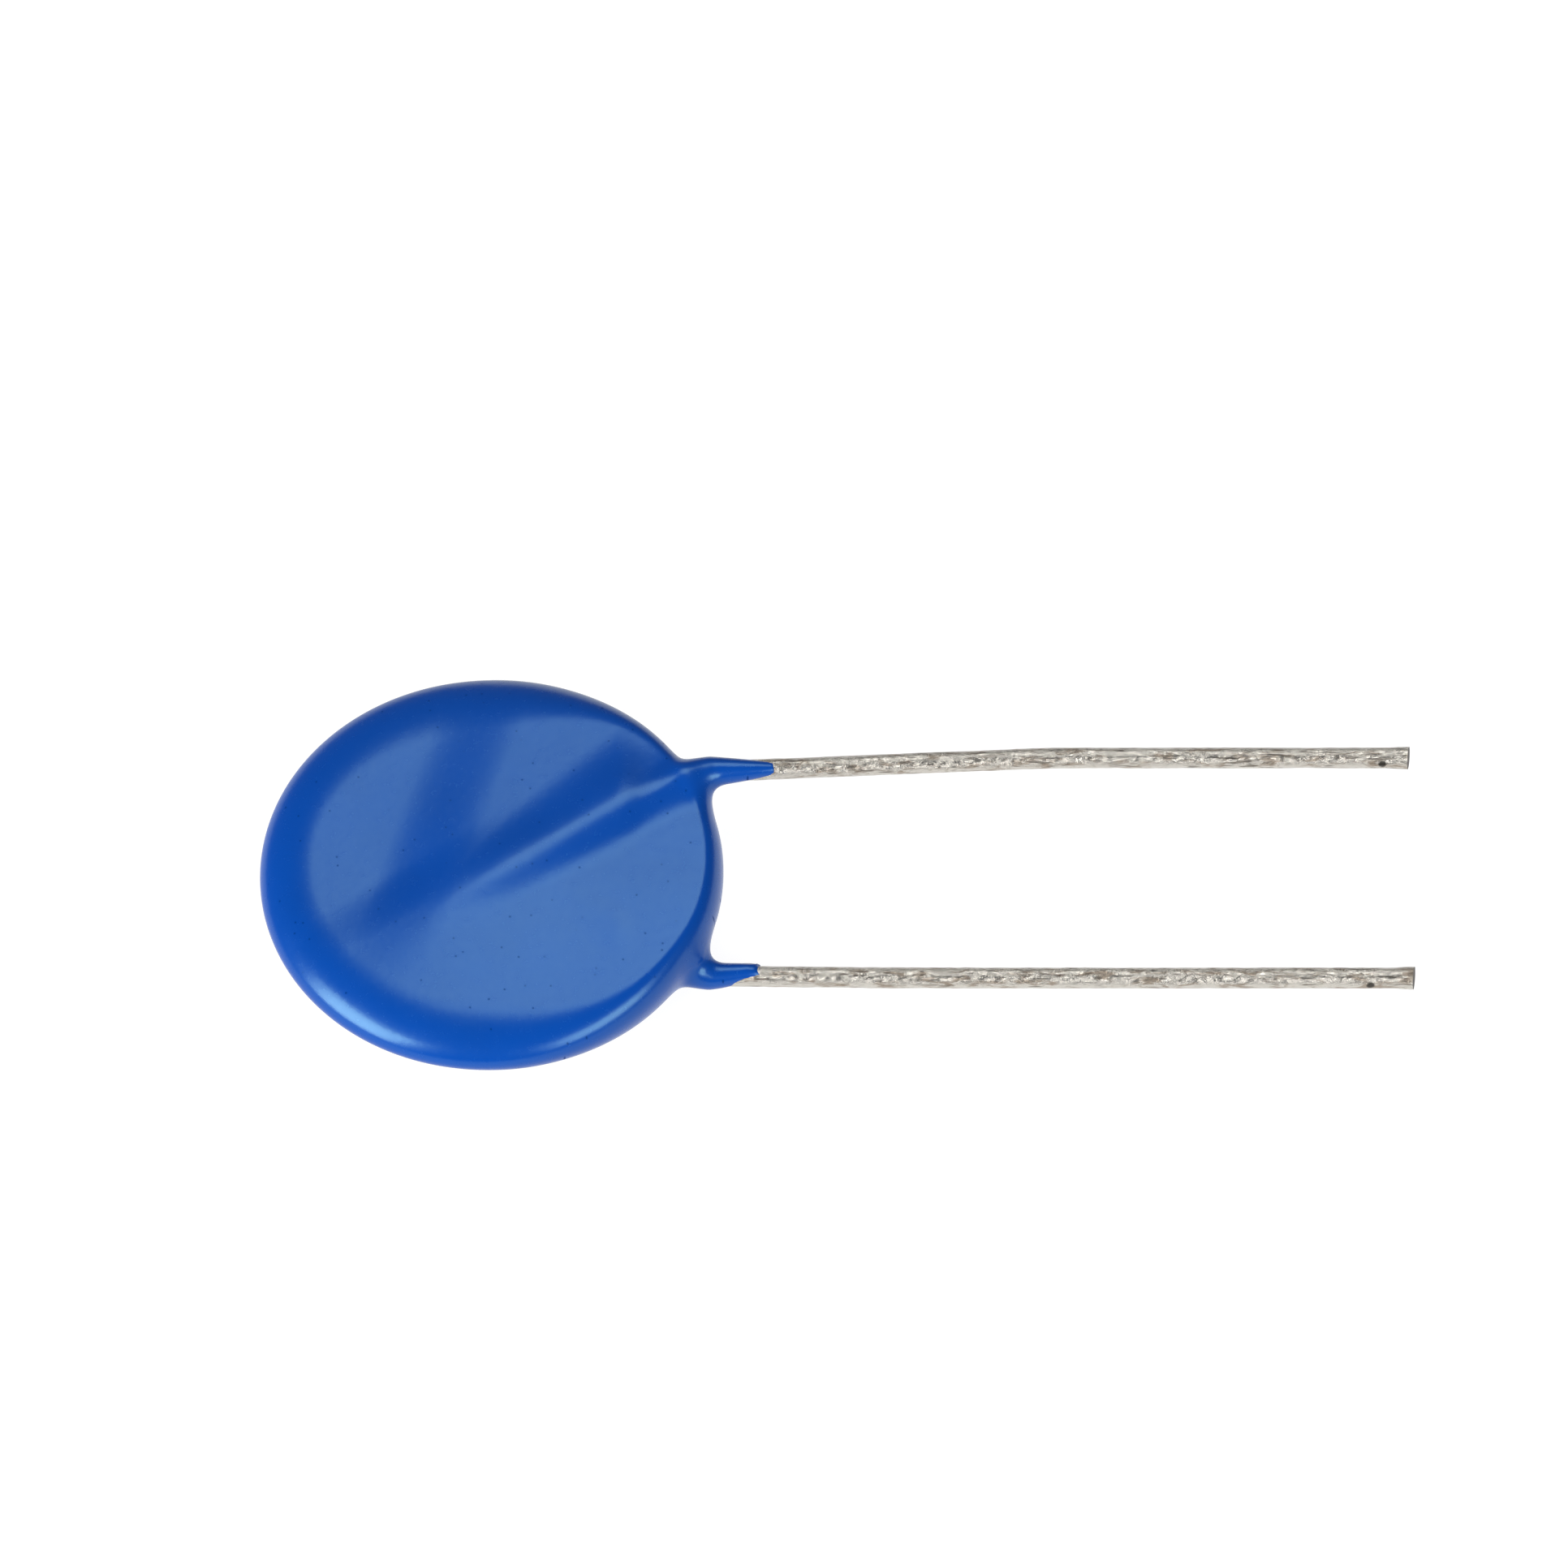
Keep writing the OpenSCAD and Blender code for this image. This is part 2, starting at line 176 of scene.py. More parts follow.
# ---------------------------------------------------------------- the form of the coat

FAR = 1000.0
TINY = 1e-9


def ease(t):
    """A soft step from zero to one."""
    u = np.clip(t, 0.0, 1.0)
    return u * u * (3.0 - 2.0 * u)


def mix(a, b, t):
    return a + (b - a) * t


def along(degrees):
    """A direction in the disc's plane."""
    return np.array([math.cos(math.radians(degrees)), math.sin(math.radians(degrees))])


class Form:
    """All sizes in millimetres about the disc's centre, and the coat as a soft union of disc and runs.

    The back side is worked out as a front side and then turned half a turn about X.
    """

    # degrees: the soldered run against the leads, and the side of its wire that each tongue clings to
    cross_angle = 34.0
    front_tongue, back_tongue = 120.0, -115.0
    # the legs: their root past the bend, where their soft crotch starts, and how they thin out
    leg_start, leg_zone, leg_fade, leg_taper = 1.5, 6.0, 3.5, 1.1
    # the ridge: how it sinks towards its end, and half the width over which its foot changes
    ridge_taper, foot_turn = 1.83, 0.8
    # the rim between the leads
    bulge_half, bulge_start = 4.8, 6.0
    root_from, root_change = -0.58, 9.45
    # the face: edge of the pool, dome where the ridge ends, slope outside the ridge
    pool_x, pool_y, pool_angle = -2.12, 2.3, -16.3
    pool_low, pool_fade = -1.0, 8.0
    dome_x, dome_y, dome_run, dome_radius = -2.5, -2.5, 13.6, 8.5
    dome_edge, dome_fade = 0.2, 2.6
    swell_hollow, swell_fade = 1.45, 6.0

    def __init__(self, sizes):
        for key in VaristorSizes.__annotations__:
            setattr(self, key, getattr(sizes, key) / MM)
        self.wire_r = self.wire_dia / 2
        self.wire_z = self.stack_half + self.solder_film + self.wire_r
        self.coat_r = self.coat_dia / 2
        self.half = self.stack_half + self.face_cover
        self.crest = self.wire_z + self.wire_r + self.ridge_cover
        self.leg_root = self.bend_reach + self.leg_start
        self.rise = self.crest - self.half - self.pool_rise - self.swell_rise
        self.front = self.lead(self.front_splay, self.front_straight, self.front_leg_radius,
                               self.front_leg_reach, self.front_tip_lift, self.front_tip_radius,
                               self.front_tongue)
        self.back = self.lead(self.back_splay, self.back_straight, self.back_leg_radius,
                              self.back_leg_reach, self.back_tip_lift, self.back_tip_radius,
                              self.back_tongue)

    def lead(self, splay, straight, radius, reach, tip_lift, tip_radius, tongue):
        """Points and angles along a lead and its leg, seen from above."""
        out = math.degrees(math.atan(splay / (straight - self.bend_reach)))
        drift = math.tan(math.radians(out)) * (reach - self.bend_reach)
        corner = np.array([self.bend_reach, self.lead_spacing / 2 - drift])
        cut = self.bend_radius * math.tan(math.radians((self.cross_angle - out) / 2))
        easy = self.easy_radius * math.tan(math.radians(out / 2))
        far = corner + np.array([straight - self.bend_reach, splay])
        made = {"out": out, "corner": corner, "radius": radius, "reach": reach, "tip_radius": tip_radius,
                "lift": tip_lift * along(tongue)}
        made["inner"] = corner - self.cross_length * along(self.cross_angle)
        made["fade"] = corner - self.ridge_length * along(self.cross_angle)
        made["bend_start"] = corner - cut * along(self.cross_angle)
        made["bend_end"] = corner + cut * along(out)
        made["middle"] = made["bend_start"] + self.bend_radius * along(self.cross_angle - 90)
        made["tip"] = corner + (reach - self.bend_reach) / math.cos(math.radians(out)) * along(out)
        made["easy_start"] = far - easy * along(out)
        made["easy_end"] = far + np.array([easy, 0.0])
        return made

    @staticmethod
    def line(x, y, a, b):
        """Distance from the straight between a and b."""
        d = b - a
        t = np.clip(((x - a[0]) * d[0] + (y - a[1]) * d[1]) / (d @ d), 0, 1)
        return np.hypot(x - a[0] - t * d[0], y - a[1] - t * d[1])

    def run_gap(self, x, y, z, lead, k):
        """Gap to the ridge over a lead and to the leg along it."""
        vx, vy = x - lead["middle"][0], y - lead["middle"][1]
        turn = np.degrees(np.arctan2(vy, vx))
        arc = np.where((turn >= 90 + lead["out"]) & (turn <= 90 + self.cross_angle),
                       abs(np.hypot(vx, vy) - self.bend_radius), FAR)
        back = (lead["corner"][0] - x) / math.cos(math.radians(self.cross_angle))
        faded = np.clip((back - self.fade_start) / (self.ridge_length - self.fade_start), 0, 1)
        foot = (self.half + self.pool_rise
                + self.dome_rise * (1 - ease((self.dome_run - back) / self.dome_radius))
                + self.swell_rise * (1 - ease((back - self.swell_length) / self.swell_fade)))
        keen = (1 - faded ** self.ridge_taper) * np.sqrt(self.rise / k)
        run = foot - self.wire_z + k * (2 * keen - 1)
        down = (x - self.leg_root) / (lead["reach"] - self.leg_root)
        leg = mix(lead["radius"], lead["tip_radius"], np.clip(down, 0, 1) ** self.leg_taper)
        ridge = mix(run, lead["radius"], ease((x - self.leg_root) / self.leg_fade + 1))
        radius = np.where(x > self.leg_root, leg, ridge)
        lift = ease(down)
        y = y - lead["lift"][0] * lift
        gap = np.minimum(np.minimum(self.line(x, y, lead["fade"], lead["bend_start"]), arc),
                         self.line(x, y, lead["bend_end"], lead["tip"]))
        return np.hypot(gap, z - self.wire_z - lead["lift"][1] * lift) - radius

    def beside(self, x, y):
        """Distance from the line of the ridge, towards the outer side."""
        way = along(self.cross_angle)
        return way[0] * (y - self.front["corner"][1]) - way[1] * (x - self.front["corner"][0])

    def face_at(self, x, y):
        """Height of the face: a low pool, a dome where the ridge fades and a long slope outside the ridge."""
        way = along(self.pool_angle)
        across = way[0] * (x - self.pool_x) + way[1] * (y - self.pool_y)
        pool = self.pool_rise * ease(across / self.pool_width + 0.5)
        pool = pool * (1 - ease((self.pool_low - y) / self.pool_fade))
        side = self.beside(x, y)
        dome = self.dome_rise * (1 - ease(np.hypot(x - self.dome_x, y - self.dome_y) / self.dome_radius))
        dome = dome * (1 - ease((side - self.dome_edge) / self.dome_fade))
        back = (self.front["corner"] - np.stack([x, y], -1)) @ along(self.cross_angle)
        swell = self.swell_rise * (1 - np.clip(side / self.swell_width, 0, 1)) ** self.swell_hollow
        swell = swell * (1 - ease(-side / self.swell_inner))
        swell = swell * (1 - ease((back - self.swell_length) / self.swell_fade))
        return self.half + pool + dome + swell

    def disc_gap(self, x, y, z):
        """Gap to the dipped disc: its faces, its rounded rim and the bulge between the leads."""
        bulge = self.root_bulge * np.exp(-(y / self.bulge_half) ** 4) * ease(x / self.bulge_start)
        wide = self.coat_r + bulge
        reach = np.hypot(x, y) + TINY
        rim = (self.rim_round + self.top_round * np.maximum(y / reach, 0) ** 2
               + self.bottom_round * np.maximum(-y / reach, 0) ** 2)
        rim = mix(rim, self.root_round, ease((x - self.root_from) / self.root_change))
        past = reach - wide + rim
        half = self.face_at(x, np.where(z > 0, y, -y))
        rounded = (np.hypot(np.maximum(past, 0) / rim, z / half) - 1) * half
        return np.where(past > 0, rounded, abs(z) - half)

    @staticmethod
    def blend(a, b, k):
        """The lesser of two gaps, with a soft seam of width k."""
        h = np.clip(0.5 + 0.5 * (b - a) / k, 0, 1)
        return b + (a - b) * h - k * h * (1 - h)

    def gap(self, x, y, z):
        """Below zero inside the coat, above zero outside it."""
        legs = ease((x - self.leg_zone) / self.leg_fade)
        made = self.disc_gap(x, y, z)
        for lead, side in ((self.front, 1), (self.back, -1)):
            outer = ease(self.beside(x, side * y) / self.foot_turn / 2 + 0.5)
            foot = mix(self.ridge_blend, self.ridge_spread, outer)
            k = mix(foot, self.leg_blend, legs)
            made = self.blend(made, self.run_gap(x, side * y, side * z, lead, foot), k)
        return made

    def settle(self, points, rounds=7, reach=0.12):
        """Moves points along the slope of the gap until they lie on the coat."""
        step = 0.004
        least_slope = 0.05
        points = points.copy()
        for _ in range(rounds):
            slope = np.stack([self.gap(*(points + step * axis).T) - self.gap(*(points - step * axis).T)
                              for axis in np.eye(3)], 1) / (2 * step)
            steep = np.maximum((slope ** 2).sum(1), least_slope)
            move = -(self.gap(*points.T) / steep)[:, None] * slope
            far = np.linalg.norm(move, axis=1, keepdims=True)
            points += move * np.minimum(1.0, reach / np.maximum(far, TINY))
        return points


# ---------------------------------------------------------------- meshes

def smooth(mesh):
    mesh.polygons.foreach_set("use_smooth", [True] * len(mesh.polygons))


def fresh_object(name, bm):
    """Turns a bmesh into a smooth shaded object."""
    mesh = bpy.data.meshes.new(name)
    bm.to_mesh(mesh)
    bm.free()
    obj = bpy.data.objects.new(name, mesh)
    bpy.context.scene.collection.objects.link(obj)
    smooth(mesh)
    return obj


def sweep(bm, ring, form, lead, steps, end_x):
    """Carries a ring of edges along a lead: slanted stretch, bend, sloped stretch, easy bend, straight."""
    def last_edges(made):
        return [g for g in made["geom_last"] if isinstance(g, bmesh.types.BMEdge)]

    def straight(edges, a, b, pace):
        count = max(1, int(round(np.linalg.norm(b - a) / pace)))
        d = (b - a) / count
        return last_edges(bmesh.ops.spin(
            bm, geom=edges, cent=(0, 0, 0), axis=(0, 0, 1), angle=0.0, steps=count, dvec=(d[0], d[1], 0),
            use_duplicate=False, use_merge=False))

    def turn(edges, centre, degrees, count):
        return last_edges(bmesh.ops.spin(
            bm, geom=edges, cent=(centre[0], centre[1], 0), axis=(0, 0, 1), angle=math.radians(degrees),
            steps=count, use_duplicate=False, use_merge=False))

    hidden, shown = steps
    bend_steps, easy_steps = 8, max(2, int(lead["out"] * 16))
    edges = straight(ring, lead["inner"], lead["bend_start"], hidden)
    edges = turn(edges, lead["middle"], lead["out"] - form.cross_angle, bend_steps)
    if end_x <= lead["tip"][0] + 0.01:
        return straight(edges, lead["bend_end"], lead["tip"], shown)
    edges = straight(edges, lead["bend_end"], lead["easy_start"], shown)
    centre = lead["easy_end"] - np.array([0.0, form.easy_radius])
    edges = turn(edges, centre, -lead["out"], easy_steps)
    return straight(edges, lead["easy_end"], np.array([end_x, lead["easy_end"][1]]), shown)


def start_ring(bm, lead, form, radius, segments, height):
    """A ring of edges square to the lead at its inner end."""
    made = bmesh.ops.create_circle(bm, cap_ends=False, segments=segments, radius=radius)
    place = Matrix.Translation((lead["inner"][0], lead["inner"][1], height))
    facing = Matrix.Rotation(math.radians(form.cross_angle), 4, "Z") @ Matrix.Rotation(math.pi / 2, 4, "Y")
    bmesh.ops.transform(bm, matrix=place @ facing, verts=made["verts"])
    return list({e for v in made["verts"] for e in v.link_edges})


def coat_blank(form):
    """A rough coat: a turned disc joined by two bent rods, for the remesh to weld."""
    shy, round_share, rod_share, lift = 0.1, 0.8, 0.98, 0.06
    bm = bmesh.new()
    radius = form.coat_r - shy
    bmesh.ops.create_cone(bm, cap_ends=True, segments=160, radius1=radius, radius2=radius,
                          depth=2 * form.half)
    bmesh.ops.bevel(bm, geom=bm.edges[:], offset=form.half * round_share, segments=6, affect="EDGES",
                    profile=0.5, material=-1)
    for lead, turned in ((form.front, False), (form.back, True)):
        before = set(bm.verts)
        ring = start_ring(bm, lead, form, lead["radius"] * rod_share, 20, form.wire_z + lift)
        last = sweep(bm, ring, form, lead, (0.6, 0.3), lead["tip"][0])
        bmesh.ops.holes_fill(bm, edges=ring, sides=0)
        bmesh.ops.holes_fill(bm, edges=last, sides=0)
        fresh = [v for v in bm.verts if v not in before]
        for v in fresh:
            t = (v.co.x - form.leg_root) / (lead["reach"] - form.leg_root)
            if t > 0:
                shrink = mix(1.0, lead["tip_radius"] / lead["radius"], min(t, 1.0))
                slope = math.tan(math.radians(lead["out"]))
                mid_y = lead["corner"][1] + slope * (v.co.x - form.bend_reach)
                mid = Vector((v.co.x, mid_y, form.wire_z + lift))
                v.co = mid + (v.co - mid) * shrink
        if turned:
            bmesh.ops.rotate(bm, cent=(0, 0, 0), matrix=Matrix.Rotation(math.pi, 3, "X"), verts=fresh)
    bmesh.ops.recalc_face_normals(bm, faces=bm.faces)
    return bm


def voxel_weld(obj, size):
    """Joins the crossing shells of an object into one even skin."""
    change = obj.modifiers.new("weld", "REMESH")
    change.mode = "VOXEL"
    change.voxel_size = size
    bpy.context.view_layer.update()
    welded = bpy.data.meshes.new_from_object(obj.evaluated_get(bpy.context.evaluated_depsgraph_get()))
    obj.modifiers.clear()
    old = obj.data
    obj.data = welded
    bpy.data.meshes.remove(old)


def points_of(mesh):
    co = np.empty(len(mesh.vertices) * 3, np.float32)
    mesh.vertices.foreach_get("co", co)
    return co.reshape(-1, 3).astype(float)


def put_points(mesh, points):
    mesh.vertices.foreach_set("co", points.astype(np.float32).ravel())
    mesh.update()


def relax(mesh, points, share):
    """Moves each point part of the way to the mean of its neighbours."""
    pairs = np.empty(len(mesh.edges) * 2, np.int32)
    mesh.edges.foreach_get("vertices", pairs)
    pairs = pairs.reshape(-1, 2)
    total = np.zeros_like(points)
    count = np.zeros(len(points))
    for a, b in ((0, 1), (1, 0)):
        np.add.at(total, pairs[:, a], points[pairs[:, b]])
        np.add.at(count, pairs[:, a], 1)
    return points + share * (total / count[:, None] - points)


# ---------------------------------------------------------------- shader maths

class Value:
    """A socket that adds Math nodes when it is used in an expression."""

    def __init__(self, shader, socket):
        self.shader = shader
        self.socket = socket

    def maths(self, operation, *others):
        return self.shader.node("ShaderNodeMath", {"operation": operation}, (self, *others))

    def __add__(self, other):
        return self.maths("ADD", other)

    __radd__ = __add__

    def __sub__(self, other):
        return self.maths("SUBTRACT", other)

    def __rsub__(self, other):
        return self.shader.node("ShaderNodeMath", {"operation": "SUBTRACT"}, (other, self))

    def __mul__(self, other):
        return self.maths("MULTIPLY", other)

    __rmul__ = __mul__

    def between(self, low, high, to_low=0.0, to_high=1.0):
        """A soft step from to_low below low to to_high above high."""
        return self.shader.node(
            "ShaderNodeMapRange", {"interpolation_type": "SMOOTHSTEP", "clamp": True},
            {"Value": self, "From Min": low, "From Max": high, "To Min": to_low, "To Max": to_high})


class Shader:
    """One material and the nodes that are added to it."""

    def __init__(self, name):
        self.material = bpy.data.materials.new(name)
        self.material.use_nodes = True
        self.tree = self.material.node_tree
        self.surface = self.tree.nodes["Principled BSDF"]

    def node(self, kind, settings=None, values=(), out=0):
        """Adds a node: its settings first, then the values or links of its sockets."""
        made = self.tree.nodes.new(kind)
        for key, value in (settings or {}).items():
            setattr(made, key, value)
        pairs = values.items() if isinstance(values, dict) else enumerate(values)
        for key, value in pairs:
            self.feed(made.inputs[key], value)
        return Value(self, made.outputs[out])

    def feed(self, socket, value):
        if isinstance(value, Value):
            self.tree.links.new(value.socket, socket)
        elif isinstance(value, (tuple, list)) and socket.type == "RGBA" and len(value) == 3:
            socket.default_value = (*value, 1.0)
        else:
            socket.default_value = value

    def place(self, scale=(1, 1, 1)):
        """Object coordinates in millimetres, stretched by scale."""
        spot = self.node("ShaderNodeTexCoord", out="Object")
        return self.node("ShaderNodeMapping", {}, {"Vector": spot, "Scale": tuple(s / MM for s in scale)})

    def grain(self, place, scale, detail=2.0, roughness=0.5, distortion=0.0):
        return self.node("ShaderNodeTexNoise", {}, {"Vector": place, "Scale": scale, "Detail": detail,
                                                    "Roughness": roughness, "Distortion": distortion})

    def near(self, point, size, ragged):
        """One inside a ragged blot round a point given in metres, else zero."""
        spot = self.node("ShaderNodeTexCoord", out="Object")
        away = self.node("ShaderNodeVectorMath", {"operation": "DISTANCE"}, (spot, tuple(point)), out="Value")
        return (away + (ragged - 0.5) * size * 0.5).between(size * 0.55, size, 1.0, 0.0)

    def cells(self, place, scale, dimensions="3D"):
        """Distance to the nearest of many scattered points."""
        return self.node("ShaderNodeTexVoronoi", {"voronoi_dimensions": dimensions},
                         {"Vector": place, "Scale": scale}, out="Distance")

    def blend(self, share, a, b):
        """Mixes two colours; a Mix node's colour sockets are its inputs 6 and 7 and its output 2."""
        return self.node("ShaderNodeMix", {"data_type": "RGBA"}, {0: share, 6: a, 7: b}, out=2)

    def bump(self, height, strength, distance, under=None):
        values = {"Height": height, "Strength": strength, "Distance": distance}
        if under is not None:
            values["Normal"] = under
        return self.node("ShaderNodeBump", {}, values)

    def matt_spots(self, share, shade):
        """Mixes a matt shade over the surface by share."""
        matt = self.node("ShaderNodeBsdfDiffuse", {}, {"Color": shade})
        glossy = Value(self, self.surface.outputs[0])
        whole = self.node("ShaderNodeMixShader", {}, (share, glossy, matt))
        self.feed(self.tree.nodes["Material Output"].inputs["Surface"], whole)

    def set(self, **sockets):
        for key, value in sockets.items():
            self.feed(self.surface.inputs[key.replace("_", " ")], value)


def shade_of(base, share=1.0):
    """A colour, darkened or lightened by a factor."""
    return tuple(c * share for c in base)


def blue_epoxy(finish):
    """Glossy dipped coat with broad cloudiness, fine waves and scattered pits: matt specks painted darker, as
    shade at the bottom of each pit.
    """
    s = Shader("blue_epoxy")
    spot = s.place()
    broad = s.grain(spot, 0.25)
    fine = s.grain(spot, 2.6, detail=3.0, roughness=0.6)
    # scattered matt specks; their darker colour is painted shade at the bottom of pits
    pit_cells = s.cells(spot, 0.8, dimensions="2D")
    pick = s.grain(spot, 0.8, detail=0.0)
    pits = pit_cells.between(0.02, 0.055, 1.0, 0.0) * pick.between(0.48, 0.6)
    shade = s.blend(broad.between(0.3, 0.7) * 0.35, shade_of(finish.blue), shade_of(finish.blue, 0.86))
    s.set(Base_Color=shade, Roughness=finish.roughness + (fine - 0.5) * 0.10,
          Normal=s.bump(fine, finish.peel, 0.04 * MM), IOR=1.5, Specular_Tint=shade_of(finish.gloss_tint))
    # the specks lose their gloss and take the darker pit colour, which is painted shade
    s.matt_spots(pits * 0.8, shade_of(finish.pit_shade))
    return s.material


def tinned_wire(finish, marks):
    """Hot tinned copper: flux stains, threads and dross along the wire, and at each mark a pinch mark painted
    dark as the shade in its notch.
    """
    s = Shader("tinned_wire")
    streak = s.grain(s.place((0.3, 1.0, 1.0)), 2.8, detail=5.0, roughness=0.68, distortion=0.5)
    thread = s.grain(s.place((0.1, 1.0, 1.0)), 7.0)
    lump = s.grain(s.place((0.6, 1.0, 1.0)), 4.4, detail=5.0, roughness=0.7, distortion=0.5)
    specks = s.cells(s.place((0.5, 1.0, 1.0)), 1.9).between(0.04, 0.13, 1.0, 0.0) * lump.between(0.52, 0.62)
    stain = streak.between(0.48, 0.64) * 0.75
    shade = s.blend(stain, shade_of(finish.tin), shade_of(finish.stain))
    shade = s.blend(thread.between(0.60, 0.68) * 0.7, shade, shade_of(finish.stain, 0.35))
    shade = s.blend(specks * 0.85, shade, shade_of(finish.dross))
    # a dark blot at each pinch mark: painted shade in a notch with no depth in the mesh
    for mark in marks:
        shade = s.blend(s.near(mark, finish.nick, lump) * 0.9, shade, shade_of(finish.pinch))
    rough = finish.roughness + (lump - 0.5) * 0.3 + stain * 0.1
    wave = s.bump(streak, 0.5, 0.07 * MM, s.bump(lump, 0.65, 0.08 * MM))
    s.set(Base_Color=shade, Metallic=0.88, Roughness=rough, Normal=wave)
    return s.material


def shaded_cut_metal(finish):
    """Torn grey metal of a sheared end, painted near black as the shade the end face sits in."""
    s = Shader("shaded_cut_metal")
    torn = s.grain(s.place((1.0, 0.35, 1.0)), 6.0, detail=3.0, roughness=0.6)
    shade = s.blend(torn.between(0.35, 0.65), shade_of(finish.cut), shade_of(finish.cut, 2.4))
    s.set(Base_Color=shade, Metallic=1.0, Roughness=0.55 + (torn - 0.5) * 0.2,
          Normal=s.bump(torn, 0.5, 0.03 * MM))
    return s.material


def plain_finish(name, base, roughness, metallic, scale, depth):
    """A fine-grained finish for the pieces sealed inside the coat."""
    s = Shader(name)
    speck = s.grain(s.place(), scale, detail=3.0, roughness=0.6)
    shade = s.blend(speck.between(0.35, 0.65), base, shade_of(base, 0.78))
    s.set(Base_Color=shade, Metallic=metallic, Roughness=roughness + (speck - 0.5) * 0.2,
          Normal=s.bump(speck, 0.4, depth * MM))
    return s.material


def white_paper(glow):
    """Matt table that lights itself, so that soft shadows stay pale."""
    s = Shader("white_paper")
    weave = s.grain(s.place(), 0.05)
    s.set(Base_Color=s.blend(weave, (0.12, 0.12, 0.12), (0.14, 0.14, 0.14)), Roughness=0.9,
          Emission_Color=(1.0, 1.0, 1.0), Emission_Strength=glow)
    return s.material


# ---------------------------------------------------------------- operators

class VARISTOR_OT_coat(bpy.types.Operator):
    """Dips the disc: one soft skin over the disc, the ridge and the two run-downs"""

    bl_idname = "varistor.coat"
    bl_label = "Epoxy coat"

    def execute(self, context):
        form = Form(context.scene.varistor_sizes)
        obj = fresh_object("coat_skin", coat_blank(form))
        voxel_weld(obj, form.grain)
        mesh = obj.data
        points = form.settle(points_of(mesh), rounds=14, reach=0.4)
        for _ in range(3):
            points = form.settle(relax(mesh, points, share=0.5), rounds=4)
        points = form.settle(points, rounds=4)
        put_points(mesh, (points + np.array(CENTRE)) * MM)
        smooth(mesh)
        mesh.materials.append(blue_epoxy(context.scene.varistor_coat))
        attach(obj, "root")
        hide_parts("epoxy_coat")
        return {"FINISHED"}


class VARISTOR_OT_leads(bpy.types.Operator):
    """Draws, dents and shears the two tinned wires"""

    bl_idname = "varistor.leads"
    bl_label = "Tinned leads"

    # millimetres: pinch marks from the wires' middles, and the cut at the end
    pinch_front = (42.14, -0.47, 0.17)
    pinch_back = (41.35, -0.48, 0.12)
    shear_trim = 0.10
    shear_way = (0.985, -0.14, 0.10)

    def execute(self, context):
        form = Form(context.scene.varistor_sizes)
        front_axis = Vector((0.0, form.front["easy_end"][1], form.wire_z))
        back_axis = Vector((0.0, -form.back["easy_end"][1], -form.wire_z))
        marks = [(CENTRE + front_axis + Vector(self.pinch_front)) * MM,
                 (CENTRE + back_axis + Vector(self.pinch_back)) * MM]
        tin = tinned_wire(context.scene.varistor_wire, marks)
        # the sheared ends: rough bare metal, painted dark as shade
        bare = shaded_cut_metal(context.scene.varistor_wire)
        for name, node, lead, turned in (("wire_front", "lead_front", form.front, False),
                                         ("wire_back", "lead_back", form.back, True)):
            bm = bmesh.new()
            ring = start_ring(bm, lead, form, form.wire_r, 40, form.wire_z)
            first = list(ring)
            sweep(bm, ring, form, lead, (0.3, 0.07), form.lead_reach + 0.6)
            bmesh.ops.holes_fill(bm, edges=first, sides=0)
            self.dent(bm, form, lead, turned)
            self.shear(bm, form, lead, turned)
            if turned:
                bmesh.ops.rotate(bm, cent=(0, 0, 0), matrix=Matrix.Rotation(math.pi, 3, "X"), verts=bm.verts)
            bmesh.ops.translate(bm, verts=bm.verts, vec=CENTRE)
            bmesh.ops.scale(bm, verts=bm.verts, vec=(MM, MM, MM))
            bmesh.ops.recalc_face_normals(bm, faces=bm.faces)
            obj = fresh_object(name, bm)
            obj.data.materials.append(tin)
            obj.data.materials.append(bare)
            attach(obj, "root")
            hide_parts(node)
        return {"FINISHED"}

    def shear(self, bm, form, lead, turned):
        """Cuts the wire's end off a little askew and fills it with the second material."""
        over = -1 if turned else 1
        x, y, z = self.shear_way
        cut = bmesh.ops.bisect_plane(
            bm, geom=bm.verts[:] + bm.edges[:] + bm.faces[:],
            plane_co=(form.lead_reach - self.shear_trim, lead["easy_end"][1], form.wire_z),
            plane_no=(x, y * over, z * over), clear_outer=True)
        rim = [g for g in cut["geom_cut"] if isinstance(g, bmesh.types.BMEdge)]
        for face in bmesh.ops.holes_fill(bm, edges=rim, sides=0)["faces"]:
            face.material_index = 1
            for edge in face.edges:
                edge.smooth = False

    @staticmethod
    def dent(bm, form, lead, turned):
        """Makes the bare wire a little uneven and flares its sheared end."""
        seed = 7.3 if turned else 2.1
        broad_depth, fine_depth, sunk = 0.018, 0.012, 0.008
        flare_rise, flare_from, flare_length = 0.05, 1.3, 1.2
        slope = math.tan(math.radians(lead["out"]))
        for v in bm.verts:
            if v.co.x < form.bend_reach + 1.0:
                continue
            mid_y = min(lead["corner"][1] + slope * (v.co.x - form.bend_reach), lead["easy_end"][1])
            spoke = Vector((0, v.co.y - mid_y, v.co.z - form.wire_z))
            if spoke.length < 1e-6:
                continue
            way = spoke.normalized()
            broad = Vector((v.co.x * 0.45 + seed, way.y * 1.1, way.z * 1.1 + seed))
            fine = Vector((v.co.x * 1.9 + seed, way.y * 2.2, way.z * 2.2 - seed))
            low = broad_depth * noise.noise(broad) + fine_depth * noise.noise(fine) - sunk
            flare = flare_rise * float(ease((v.co.x - form.lead_reach + flare_from) / flare_length))
            v.co += way * (low + flare)


